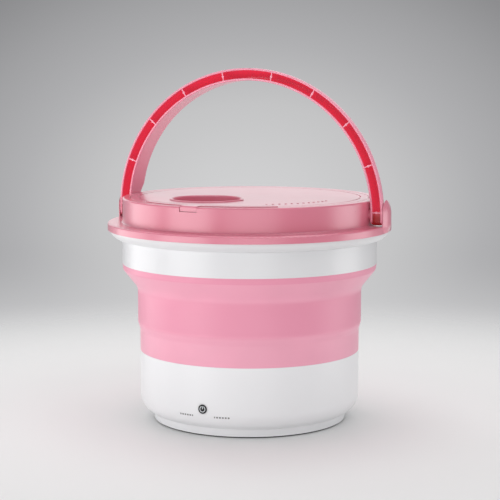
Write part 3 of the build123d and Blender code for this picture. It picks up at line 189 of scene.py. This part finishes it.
def mouldedFinish(name, colour, rough=0.3, variation=0.03, grain=0.2, coat=0.0, paint=None, paintedGlow=None):
    # Smooth moulded plastic: slow drifts of tone, faint handling marks and the mould's own fine grain.
    # paint is a function that gives (mask, colour) pairs laid over the base tone. The last argument gives a
    # painted
    # glow: emission that stands in for the light that comes through a thin coloured wall.
    f = Finish(name)
    drift = f.noise(9.0, 2.0)
    tone = f.mixed(drift.rise(0.35, 0.65), colour, dimmed(colour, 1 - variation))
    for mask, laid in (paint(f) if paint else []):
        tone = f.mixed(mask, tone, laid)
    wiped = f.noise(38.0, 3.0, f.moved(turn=(0.3, 0.1, 0.7), stretch=(1, 1, 0.22)))
    scuffs = f.noise(260.0, 2.0, f.moved(turn=(0.9, 0.4, 0.2), stretch=(1, 0.06, 1))).rise(0.68, 0.8)
    roughness = rough + (wiped - 0.5) * 0.10 + scuffs * 0.06
    bump = f.bump(f.noise(1500.0, 1.0), grain * 0.02 * mm)
    bump = f.bump(f.noise(22.0, 1.0), 0.05 * mm, bump)
    # painted glow: the surface is made to give off light, standing in for light that comes through the wall
    through = {"Emission_Color": paintedGlow(f), "Emission_Strength": 1.0} if paintedGlow else {}
    return f.shine(Base_Color=tone, Roughness=roughness, Normal=bump, IOR=1.5, Coat_Weight=coat,
                   Coat_Roughness=0.3, **through)


def rubberFinish(name, colour, rough):
    # Rubber: even and dull, with a dusty bloom in patches.
    f = Finish(name)
    bloom = f.noise(60.0, 4.0).rise(0.45, 0.75)
    tone = f.mixed(bloom * 0.25, colour, dimmed(colour, 1.9))
    bump = f.bump(f.noise(2600.0, 2.0), 0.02 * mm)
    return f.shine(Base_Color=tone, Roughness=rough + bloom * 0.15, Normal=bump)


def steelFinish(name, colour, rough):
    # Metal with the fine parallel lines of turning or drawing.
    f = Finish(name)
    lines = f.noise(1400.0, 2.0, f.moved(stretch=(1, 1, 0.03)))
    patches = f.noise(70.0, 3.0)
    tone = f.mixed(patches.rise(0.3, 0.7), colour, dimmed(colour, 0.82))
    roughness = rough + (lines - 0.5) * 0.2 + (patches - 0.5) * 0.1
    return f.shine(Base_Color=tone, Metallic=1.0, Roughness=roughness, Normal=f.bump(lines, 0.012 * mm))


# sizes that the materials share with the model

machine = {
    "hingeTurn": math.radians(-22.0),
    "hingeHeight": 237.5 * mm,
    "archInner": 145.4 * mm,
    "archOuter": 159.0 * mm,
    "baseRadius": 124.3 * mm,
    "buttonTurn": math.radians(-113.9),
}

colours = {
    "shellPink": screen(221, 124, 146),
    "handlePink": screen(238, 148, 171),
    # painted shade inside the handle's channel: its pink painted a deeper red, and darkest in the feet
    "paintedChannelShade": screen(236, 52, 84),
    "paintedFootShade": screen(190, 10, 22),
    # painted glow in the channel, given off as light
    "paintedChannelGlow": screen(98, 38, 52),
    "softPink": screen(243, 168, 190),
    # painted shade colour for the soft wall's middle band and lip
    "softShaded": screen(234, 150, 175),
    "baseWhite": screen(236, 236, 238),
    "ringWhite": screen(225, 225, 227),
    "innerWhite": screen(226, 226, 224),
    "gearIvory": screen(226, 222, 208),
    "print": screen(64, 62, 64),
}

channel = {
    "rim": 1.2 * mm,            # the arch's wall, inside and outside
    "slantStart": -1.0 * mm,    # depth where the outer side starts to slant inwards
    "slant": 9.8 / 26,          # how far it comes in for each millimetre of depth
    "front": -8.0 * mm,         # depth of the rims' front face
    "back": 22.5 * mm,
    "footBelow": 4 * mm,        # the feet's painted dark shade ends between these two, from the hinge's height
    "footAbove": 7 * mm,
    # painted glow on the rims, as a share of their pink
    "paintedRimGlow": 0.05,
}


def insideChannel(f):
    # The channel lies between the two rims: the distance from the hinge's height, root of x squared plus z
    # squared, is over the inner rim's and under the outer rim's, which shrinks towards the back edge.
    x, y, z = f.parts(f.moved(turn=(0, 0, machine["hingeTurn"])))
    above = (z - machine["hingeHeight"]).atLeast(0.0)
    radius = (x * x + above * above) ** 0.5
    inwards = (y - channel["slantStart"]).atLeast(0.0) * channel["slant"]
    outerRim = machine["archOuter"] - channel["rim"] - inwards
    innerRim = machine["archInner"] + channel["rim"]
    inside = radius.rise(innerRim - 0.3 * mm, innerRim + 0.3 * mm)
    inside = inside * (1 - (radius - outerRim).rise(-0.5 * mm, 0.1 * mm))
    behind = y.rise(channel["front"] - 0.3 * mm, channel["front"] + 0.3 * mm)
    behind = behind * (1 - y.rise(channel["back"] - 0.5 * mm, channel["back"] + 0.5 * mm))
    up = z.rise(machine["hingeHeight"] - channel["footBelow"], machine["hingeHeight"] + channel["footAbove"])
    return inside * behind, up


def paintedHandleShade(f):
    # Painted shade: inside the channel the handle is painted a deeper red than its rims, standing in for the
    # shade and red bounced light of the deep channel, and painted darkest in the feet, where the pockets lie
    # deepest in shade.
    inside, up = insideChannel(f)
    return [(inside, f.mixed(up, colours["paintedFootShade"], colours["paintedChannelShade"]))]


def paintedHandleGlow(f):
    # Painted glow: emission that stands in for light through the thin wall, red inside the channel but not in
    # the feet, and very faint on the rims.
    inside, up = insideChannel(f)
    return f.mixed(inside, dimmed(colours["handlePink"], channel["paintedRimGlow"]),
                   f.mixed(up, (0.0, 0.0, 0.0), colours["paintedChannelGlow"]))


dashes = {
    "row": (24.4 * mm, 26.2 * mm),
    "left": (-29.0 * mm, -12.0 * mm),       # along the wall from the button's middle
    "right": (13.0 * mm, 31.0 * mm),
    "step": 3.2 * mm,
    "start": 100 * mm,                      # where the steps are counted from, left of both rows
    "drawn": (0.08, 0.72),                  # the part of each step that is printed
    "strength": 0.85,
}


def printedDashes(f):
    # Two rows of plain small dashes beside the button, evenly spaced round the wall.
    # The place along the wall is the angle from the button times the wall's radius.
    x, y, z = f.parts(f.place)
    along = (y.maths("ARCTAN2", y, x) - machine["buttonTurn"]) * machine["baseRadius"]
    row = z.between(*dashes["row"], 0.15 * mm)
    left = along.between(*dashes["left"], 0.1 * mm)
    right = along.between(*dashes["right"], 0.1 * mm)
    dash = ((along + dashes["start"]) / dashes["step"]).fraction().between(*dashes["drawn"], 0.05)
    front = 1 - y.rise(-20 * mm, 0.0)
    return [((left + right) * row * dash * front * dashes["strength"], colours["print"])]


pinkShell = mouldedFinish("pinkShell", colours["shellPink"], grain=0.06, coat=1.0)
pinkHandle = mouldedFinish("pinkHandle", colours["handlePink"], grain=0.06, coat=0.6, paint=paintedHandleShade,
                           paintedGlow=paintedHandleGlow)
whiteBase = mouldedFinish("whiteBase", colours["baseWhite"], 0.36, variation=0.02, grain=0.06, coat=0.6,
                          paint=printedDashes)
whiteShell = mouldedFinish("whiteShell", colours["ringWhite"], 0.36, variation=0.02, grain=0.06, coat=0.6)
whiteInner = mouldedFinish("whiteInner", colours["innerWhite"], 0.42, variation=0.05, grain=0.6)
ivoryGear = mouldedFinish("ivoryGear", colours["gearIvory"], 0.48, variation=0.08, grain=0.5)
blackGloss = mouldedFinish("blackGloss", screen(12, 12, 14), 0.32, variation=0.1)
blackMatt = mouldedFinish("blackMatt", screen(34, 34, 36), 0.5, variation=0.15, grain=0.9)
symbolWhite = mouldedFinish("symbolWhite", screen(226, 230, 234), 0.4)
creamSocket = mouldedFinish("creamSocket", screen(226, 216, 188), 0.45, variation=0.08, grain=0.5)
greySeal = rubberFinish("greySeal", screen(62, 62, 64), 0.55)
darkFoot = rubberFinish("darkFoot", screen(24, 24, 26), 0.72)
turnedSteel = steelFinish("turnedSteel", (0.62, 0.62, 0.64), 0.26)
drawnSteel = steelFinish("drawnSteel", (0.56, 0.57, 0.58), 0.32)
paleBrass = steelFinish("paleBrass", (0.72, 0.52, 0.24), 0.3)


def magnetFinish():
    # Pressed ferrite: nearly black, with sparse bright grains.
    f = Finish("pressedFerrite")
    grains = f.noise(2400.0, 1.0).rise(0.66, 0.74)
    tone = f.mixed(grains, screen(44, 43, 45), screen(110, 108, 112))
    bump = f.bump(f.noise(900.0, 3.0), 0.03 * mm)
    return f.shine(Base_Color=tone, Roughness=0.55 - grains * 0.2, Normal=bump)


def windingFinish(centre):
    # Copper wire outside and steel near the shaft, with close rings across the axis: the crown is 1 in the
    # middle of each wire and 0 between two.
    f = Finish("rotorWinding")
    x, y, z = f.parts(f.moved(centre=centre))
    ring = (z / (0.45 * mm)).fraction()
    crown = 1 - abs(ring * 2 - 1)
    radius = (x * x + y * y) ** 0.5
    copper = radius.rise(4.4 * mm, 4.8 * mm)
    # The copper is painted darker between two wires: painted shade in the grooves between the round wires.
    tone = f.mixed(copper, (0.60, 0.58, 0.55), f.mixed(crown, (0.30, 0.10, 0.035), (0.86, 0.40, 0.17)))
    bump = f.bump(crown, 0.12 * mm)
    return f.shine(Base_Color=tone, Metallic=1.0, Roughness=0.4 - crown * 0.14, Normal=bump)


def boardFinish():
    # Green lacquered board: copper tracks show through as paler lines, with tin pads along them.
    f = Finish("lacquerBoard")
    flat = f.moved(turn=(math.pi / 2, 0, machine["buttonTurn"] + math.pi / 2))
    grid = f.add("ShaderNodeTexBrick", {"offset": 0.5, "squash": 1.0},
                 {"Vector": flat, "Scale": 120.0, "Mortar Size": 0.05, "Mortar Smooth": 0.2,
                  "Brick Width": 1.3, "Row Height": 0.35}, 1)
    cells = f.add("ShaderNodeTexVoronoi", {"feature": "F1"}, {"Vector": f.place, "Scale": 190.0})
    pads = 1 - cells.rise(0.13, 0.17)
    tone = f.mixed(grid * 0.7, screen(14, 84, 48), screen(40, 132, 78))
    tone = f.mixed(pads, tone, screen(196, 196, 190))
    return f.shine(Base_Color=tone, Roughness=0.32 + pads * 0.1, Normal=f.bump(grid, 0.03 * mm))


def leadFinish():
    # Wire cover: red, in slow waves of a lighter and a darker tone.
    f = Finish("wireCover")
    waves = f.noise(420.0, 2.0)
    tone = f.mixed(waves.rise(0.3, 0.7), screen(176, 30, 26), screen(140, 20, 20))
    return f.shine(Base_Color=tone, Roughness=0.4 + (waves - 0.5) * 0.2, Normal=f.bump(waves, 0.02 * mm))


print("materials made:", len(bpy.data.materials))


# the soft wall, turned from its rounded outline

softWall = {
    "wall": 2.2,                # all in millimetres
    "baseRadius": 124.3,
    "low": 79.8,
    "bandLow": 104.0,
    "bandFull": 112.0,
    "bandRadius": 126.7,
    "bandTop": 151.5,
    "lipLow": 172.0,
    "lipRadius": 143.0,
    "top": 178.7,
    "topRadius": 143.8,
    "tongueTop": 185.7,
    "tongueOuter": 141.1,
    "tongueInner": 139.1,
    "footInner": 119.0,
    "flexes": [(108, 114, 3), (148, 156, 5)],       # from one height to another, with a soft edge
    # heights painted a deeper colour as painted shade: the middle band and the lip under the ring
    "shadedBands": [(112, 150, 3), (172, 185, 0.8)],
    "kept": 0.242,              # the share of its height that is left when it is folded
    "around": 288,
    "perCorner": 10,
}


def roundedOutline(corners, steps):
    # A closed outline: each corner (radius, height, rounding) becomes an arc that leaves both sides at the
    # same distance, rounding * tan(half the turn), drawn as a quadratic curve through the corner's pull.
    points = np.array([c[:2] for c in corners], float)
    rounding = np.array([c[2] for c in corners], float)[:, None]
    before = np.roll(points, 1, 0) - points
    after = np.roll(points, -1, 0) - points
    lengthBefore = np.linalg.norm(before, axis=1, keepdims=True)
    lengthAfter = np.linalg.norm(after, axis=1, keepdims=True)
    before, after = before / lengthBefore, after / lengthAfter
    angle = np.arccos(np.clip((before * after).sum(1, keepdims=True), -1, 1))
    reach = rounding / np.tan(np.maximum(angle, 0.01) / 2)
    reach = np.minimum(reach, 0.48 * np.minimum(lengthBefore, lengthAfter))
    t = np.linspace(0, 1, steps)[None, :, None]
    start, end = (points + before * reach)[:, None], (points + after * reach)[:, None]
    return ((1 - t) ** 2 * start + 2 * t * (1 - t) * points[:, None] + t ** 2 * end).reshape(-1, 2)


def turnedMesh(name, outline, around):
    # A closed ring: the outline's (radius, height) carried once round Z, x = r cos a and y = r sin a.
    count = len(outline)
    a = np.linspace(0, 2 * np.pi, around, endpoint=False)[:, None]
    radius, height = outline[:, 0][None], outline[:, 1][None]
    grid = np.stack([radius * np.cos(a), radius * np.sin(a), height + 0 * a], -1).reshape(-1, 3) * mm
    i, j = np.meshgrid(np.arange(around), np.arange(count), indexing="ij")
    left, right, up = i * count, (i + 1) % around * count, (j + 1) % count
    faces = np.stack([left + j, right + j, right + up, left + up], -1).reshape(-1, 4)
    mesh = bpy.data.meshes.new(name)
    mesh.from_pydata(grid.tolist(), [], faces.tolist())
    mesh.shade_smooth()
    mesh.validate()
    piece = bpy.data.objects.new(name, mesh)
    bpy.context.scene.collection.objects.link(piece)
    return piece


def softWallOutline(s):
    # Outer side from bottom to top, over the tongue, and back down the inner side a wall's width inside.
    w = s["wall"]
    return [
        (s["footInner"], s["low"], 0.05), (s["baseRadius"], s["low"], 0.25),
        (s["baseRadius"], s["bandLow"], 9.0), (s["bandRadius"], s["bandFull"], 9.0),
        (s["bandRadius"], s["bandTop"], 14.0), (s["lipRadius"], s["lipLow"], 5.0),
        (s["topRadius"], s["top"], 0.3), (s["tongueOuter"], s["top"], 0.1),
        (s["tongueOuter"], s["tongueTop"], 0.4), (s["tongueInner"], s["tongueTop"], 0.4),
        (s["tongueInner"], s["top"] - w, 0.4), (s["lipRadius"] - w, s["top"] - w - 0.4, 0.6),
        (s["lipRadius"] - w * 0.95, s["lipLow"] + 1.0, 5.0), (s["bandRadius"] - w, s["bandTop"] + 1.3, 12.0),
        (s["bandRadius"] - w, s["bandFull"] + 0.4, 8.0), (s["baseRadius"] - w, s["bandLow"] + 0.4, 8.0),
        (s["baseRadius"] - w, s["low"] + w, 0.3), (s["footInner"], s["low"] + w, 0.2),
    ]


def softWallFinish(s):
    # Soft folding plastic: satin, slightly cloudy, with painted shade that makes the middle band and the lip
    # under the ring a deeper colour, and paler where it flexes.
    f = Finish("softWall")
    x, y, z = f.parts(f.place)
    cloud = f.noise(14.0, 3.0)
    worn, shadedBands = [sum(z.between(low * mm, high * mm, soft * mm) for low, high, soft in s[zones])
                   for zones in ("flexes", "shadedBands")]
    tone = f.mixed(cloud.rise(0.3, 0.7), colours["softPink"], dimmed(colours["softPink"], 0.95))
    # painted shade: the middle band and the lip under the ring are painted deeper
    tone = f.mixed(shadedBands, tone, colours["softShaded"])
    tone = f.mixed(worn * 0.10, tone, dimmed(colours["softPink"], 1.12))
    roughness = 0.42 + (f.noise(90.0, 3.0) - 0.5) * 0.12 + worn * 0.04
    bump = f.bump(f.noise(1900.0, 2.0), 0.012 * mm)
    bump = f.bump(f.noise(16.0, 1.0, f.moved(stretch=(1, 1, 0.35))), 0.25 * mm, bump)
    return f.shine(Base_Color=tone, Roughness=roughness, Normal=bump, IOR=1.45, Coat_Weight=0.3,
                   Coat_Roughness=0.35)


bellowsPiece = turnedMesh("soft_wall", roundedOutline(softWallOutline(softWall), softWall["perCorner"]),
                          softWall["around"])
bellowsPiece.data.materials.append(softWallFinish(softWall))
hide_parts("bellows")
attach(bellowsPiece, "base")
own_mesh(bellowsPiece)
print("soft wall made:", len(bellowsPiece.data.polygons), "faces")


# finishes for the CAD nodes

rotorLow, rotorHigh = [np.array(corner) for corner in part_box("motor_rotor")]
finishes = {
    pinkShell: ["collar", "lid"],
    pinkHandle: ["handle"],
    whiteBase: ["base_housing"],
    whiteShell: ["upper_ring", "button_bezel"],
    whiteInner: ["tub_floor", "bottom_cover", "drain_spout", "drain_cap", "lower_hoop", "upper_hoop",
                 "pulsator", "hub_cap"],
    ivoryGear: ["output_wheel", "pinion"],
    blackGloss: ["power_button"],
    blackMatt: ["motor_end_cap", "tact_switch", "switch_plunger", "power_jack"],
    symbolWhite: ["button_symbol"],
    creamSocket: ["board_socket"],
    greySeal: ["rim_seal", "lid_gasket", "drain_o_ring", "shaft_seal"],
    darkFoot: ["rubber_foot_ring"],
    turnedSteel: ["cover_screws", "board_screws", "bracket_screws", "motor_screws", "hub_screw", "pivot_pins",
                  "pulsator_shaft", "motor_shaft", "upper_bearing", "lower_bearing", "drain_strainer"],
    drawnSteel: ["motor_can", "motor_bracket"],
    paleBrass: ["jack_nut"],
    magnetFinish(): ["motor_magnets"],
    windingFinish(tuple((rotorLow + rotorHigh) / 2)): ["motor_rotor"],
    boardFinish(): ["control_board"],
    leadFinish(): ["motor_leads", "jack_leads"],
}
for material, names in finishes.items():
    for name in names:
        for slot in nodes[name].material_slots:
            slot.material = material
finished = sorted(name for names in finishes.values() for name in names)
print("finished nodes:", len(finished), "left:", sorted(set(nodes) - set(finished)))


# floor, light and camera

studio = {
    "floorColour": screen(236, 236, 236),
    "floorRadius": 1.6,
    "floorInner": 0.1,          # the first ring of the floor's mesh
    "floorRings": 24,
    "floorAround": 64,
    "fadeStart": 0.34,          # where the floor starts to run into the background, from the machine
    "fadeEnd": 0.92,
    "ambient": 0.57,
    "aim": 0.2,                 # the height that the lamps face
}
# the background that shows, by direction: x, y and z of a view with the length 1
backdrop = {
    "middle": -0.10,            # the lightest height
    "steeper": 1.35,            # it darkens faster upwards than sideways
    "reach": 0.245,             # where the last tone is reached
    "tones": [(0.0, screen(211, 211, 212)), (1.0, screen(141, 141, 143)), (0.20, screen(205, 205, 206)),
              (0.40, screen(196, 196, 197)), (0.62, screen(176, 176, 178)), (0.82, screen(160, 160, 162))],
    "below": screen(212, 212, 213),
    "belowFrom": (-0.20, -0.12),
}
# each lamp stands round the machine at a turn in degrees from +X, so far away and so high
lamps = {
    "leftFront": {"around": -143, "away": 1.7, "high": 0.06, "size": (1.25, 0.85), "power": 9.2},
    "leftBack": {"around": -197, "away": 1.7, "high": 0.06, "size": (1.25, 0.85), "power": 6.0},
    "front": {"around": -88, "away": 2.2, "high": 0.12, "size": (1.8, 0.8), "power": 6.4},
    "rightEdge": {"around": 2, "away": 1.8, "high": 0.06, "size": (1.0, 0.8), "power": 4.6},
    "above": {"around": 100, "away": 0.25, "high": 2.3, "size": (1.5, 1.5), "power": 12.5},
    "topBack": {"around": 122, "away": 1.7, "high": 1.9, "size": (1.0, 1.0), "power": 4.0},
    "topRight": {"around": -45, "away": 1.5, "high": 2.1, "size": (1.3, 1.3), "power": 5.0},
    "behind": {"around": 92, "away": 2.3, "high": 0.75, "size": (2.8, 1.1), "power": 7.2},
}
photoView = {
    "distance": 1.7134,
    "height": 0.4038,
    "pitch": 0.1233,            # radians below level
    "sensor": 36.0,             # in millimetres
    "frame": 500,               # in pixels
    "focal": 1521.4,            # in pixels of that frame
    "shift": 0.0009,
}


def softLamp(name, around, away, high, size, power):
    # A large soft lamp that faces the machine, at away * cos(around) and away * sin(around).
    lamp = bpy.data.lights.new(name, "AREA")
    lamp.shape = "RECTANGLE"
    lamp.size, lamp.size_y = size
    lamp.energy = power
    holder = bpy.data.objects.new(name, lamp)
    bpy.context.scene.collection.objects.link(holder)
    turn = math.radians(around)
    holder.location = (away * math.cos(turn), away * math.sin(turn), high)
    holder.rotation_euler = (math.atan2(away, high - studio["aim"]), 0, turn + math.pi / 2)
    holder.visible_camera = False
    return holder


def floorDisc():
    # A flat disc as rings round the machine, x = r cos a and y = r sin a.
    around = studio["floorAround"]
    rings = np.linspace(studio["floorInner"], studio["floorRadius"], studio["floorRings"])
    radius = np.concatenate([[0.0], rings])[:, None]
    a = np.linspace(0, 2 * np.pi, around, endpoint=False)[None]
    grid = np.stack([radius * np.cos(a), radius * np.sin(a), 0 * radius * a], -1).reshape(-1, 3)
    i, j = np.meshgrid(np.arange(len(rings)), np.arange(around), indexing="ij")
    turn, outwards = (j + 1) % around, (i + 1) * around
    faces = np.stack([i * around + j, outwards + j, outwards + turn, i * around + turn], -1).reshape(-1, 4)
    mesh = bpy.data.meshes.new("floor")
    mesh.from_pydata(grid.tolist(), [], faces.tolist())
    mesh.validate()
    disc = bpy.data.objects.new("floor", mesh)
    bpy.context.scene.collection.objects.link(disc)
    return disc


def floorFinish():
    # Pale paper that runs out softly into the background further from the machine, and is clear from below.
    f = Finish("paleFloor")
    x, y, z = f.parts(f.place)
    away = (x * x + y * y) ** 0.5
    paper = f.add("ShaderNodeBsdfDiffuse", inputs={"Color": (*studio["floorColour"], 1)})
    clear = f.add("ShaderNodeBsdfTransparent")
    under = f.add("ShaderNodeNewGeometry", output="Backfacing")
    gone = away.rise(studio["fadeStart"], studio["fadeEnd"])
    f.show(f.add("ShaderNodeMixShader", inputs={0: gone.atLeast(under), 1: paper, 2: clear}))
    return f.material


def roomLight():
    # Even light all round. The background that shows is grey, lightest just above the floor's far edge, and
    # darkens with the distance from there: the root of side squared plus (steeper times height) squared.
    world = bpy.data.worlds.new("room")
    bpy.context.scene.world = world
    f = Finish("room", world, "Generated")
    x, y, z = f.parts(f.place)
    side = abs(x).maths("MINIMUM", abs(x), abs(y))
    height = (z - backdrop["middle"]) * backdrop["steeper"]
    away = (side * side + height * height) ** 0.5
    shown = f.add("ShaderNodeValToRGB", {"stops": backdrop["tones"]}, {"Fac": away / backdrop["reach"]})
    shown = f.mixed(1 - z.rise(*backdrop["belowFrom"]), shown, backdrop["below"])
    rays = f.add("ShaderNodeLightPath").socket.node.outputs
    camera, glossy, through = [Signal(f, rays[key]) for key in
                               ("Is Camera Ray", "Is Glossy Ray", "Is Transmission Ray")]
    seen = camera.atLeast(glossy.atLeast(through))
    plain = f.add("ShaderNodeBackground", inputs={"Color": (1, 1, 1, 1), "Strength": studio["ambient"]})
    scenery = f.add("ShaderNodeBackground", inputs={"Color": shown, "Strength": 1.0})
    f.add("ShaderNodeOutputWorld", inputs={
        "Surface": f.add("ShaderNodeMixShader", inputs={0: seen, 1: plain, 2: scenery})})


for name, settings in lamps.items():
    softLamp(name, **settings)
floor = floorDisc()
floor.data.materials.append(floorFinish())
roomLight()

lens = bpy.data.cameras.new("photoCamera")
lens.sensor_width = photoView["sensor"]
lens.lens = photoView["focal"] / photoView["frame"] * photoView["sensor"]
lens.shift_x = photoView["shift"]
camera = bpy.data.objects.new("photoCamera", lens)
bpy.context.scene.collection.objects.link(camera)
camera.location = (0, -photoView["distance"], photoView["height"])
camera.rotation_euler = (math.pi / 2 - photoView["pitch"], 0, 0)
bpy.context.scene.camera = camera
bpy.context.scene.view_settings.view_transform = "Standard"
print("stage set")
